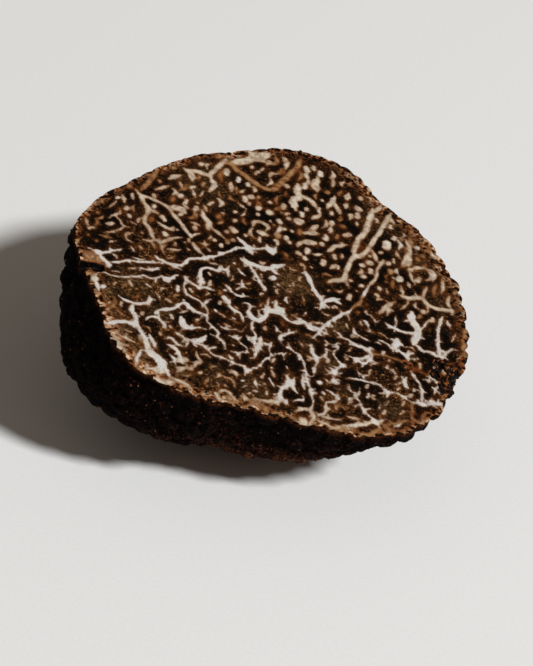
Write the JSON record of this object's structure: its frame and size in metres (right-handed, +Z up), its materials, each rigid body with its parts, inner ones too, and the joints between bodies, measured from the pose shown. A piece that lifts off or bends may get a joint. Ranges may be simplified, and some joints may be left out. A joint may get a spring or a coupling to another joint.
{
  "type": "black truffle half",
  "caption": "Half of a black truffle lying on its rounded, warty side, with the flat knife cut facing up.",
  "frame": {"origin": "centre of the small flat spot on the underside that the half rests on", "axes": "+Z up, away from the surface it lies on; the cut faces up and leans 10.6 degrees towards +X and -Y; +Y is the side away from the rim's lowest stretch"},
  "size_m": [0.0506, 0.0525, 0.0221],
  "materials": {
    "truffle": "matt black, warty rind; the cut is dark brown flesh with fine cream-white veins"
  },
  "bodies": {
    "root": {"truffle_half": "truffle"}
  },
  "joints": []
}
